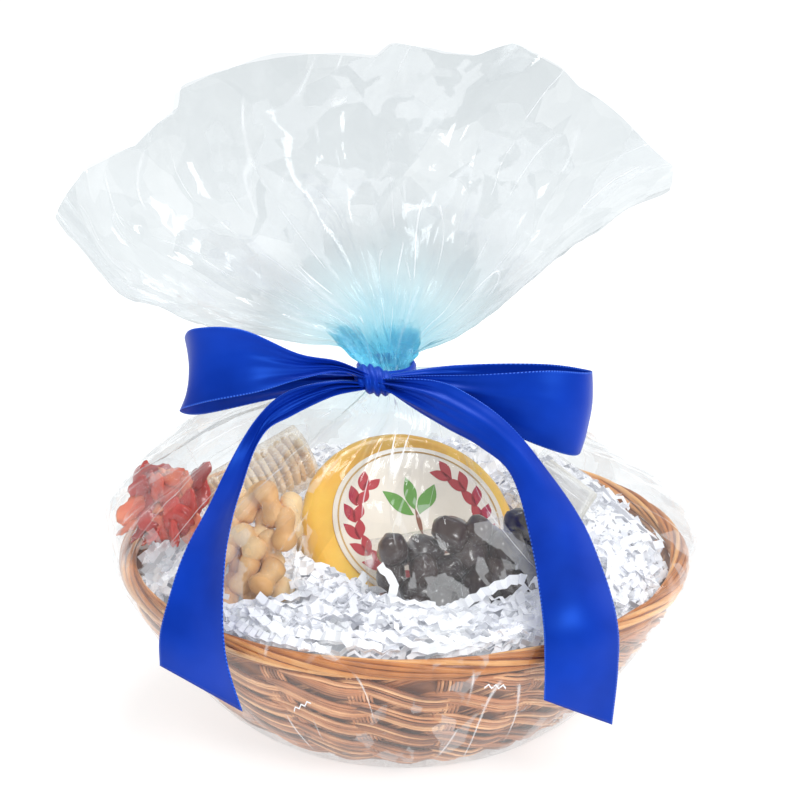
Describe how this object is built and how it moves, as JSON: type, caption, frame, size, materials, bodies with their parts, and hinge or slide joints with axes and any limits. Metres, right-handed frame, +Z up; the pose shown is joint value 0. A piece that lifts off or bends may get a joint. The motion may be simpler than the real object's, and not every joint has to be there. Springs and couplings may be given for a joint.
{
  "type": "cheese and cracker gift basket",
  "caption": "Round wicker basket of cheese, nuts, dried fruit, chocolates and crackers on paper shred, gathered in clear film and tied with a satin bow.",
  "frame": {"origin": "on the floor, at the centre of the wrap's flat bottom under the basket", "axes": "+Z up, -Y towards the front where the bow's knot and tails are, +X to the right of a viewer in front"},
  "size_m": [0.3285, 0.3075, 0.3664],
  "materials": {
    "clear_wrap": "clear crinkled gift film, faint aqua tint towards the neck",
    "basket_wall": "stained split wicker, satin",
    "basket_rim": "stained twisted wicker, satin",
    "paper_shred": "matt white crinkle cut paper",
    "cheese_wheel": "yellow cheese under tight clear film",
    "cheese_label": "coated cream paper",
    "nut_bag": "roasted nuts in clear film",
    "dried_fruit_bag": "red and orange dried fruit in clear film",
    "chocolate_bag": "dark chocolates in clear film",
    "cracker_pack": "pale crackers in clear film",
    "side_pack": "pale crackers in clear film",
    "ribbon_bow": "royal blue satin with a stitched edge"
  },
  "bodies": {
    "root": {"clear_wrap": "clear_wrap", "basket_wall": "basket_wall", "basket_rim": "basket_rim", "paper_shred": "paper_shred", "cheese_wheel": "cheese_wheel", "cheese_label": "cheese_label", "nut_bag": "nut_bag", "dried_fruit_bag": "dried_fruit_bag", "chocolate_bag": "chocolate_bag", "cracker_pack": "cracker_pack", "side_pack": "side_pack", "ribbon_bow": "ribbon_bow"}
  },
  "joints": []
}
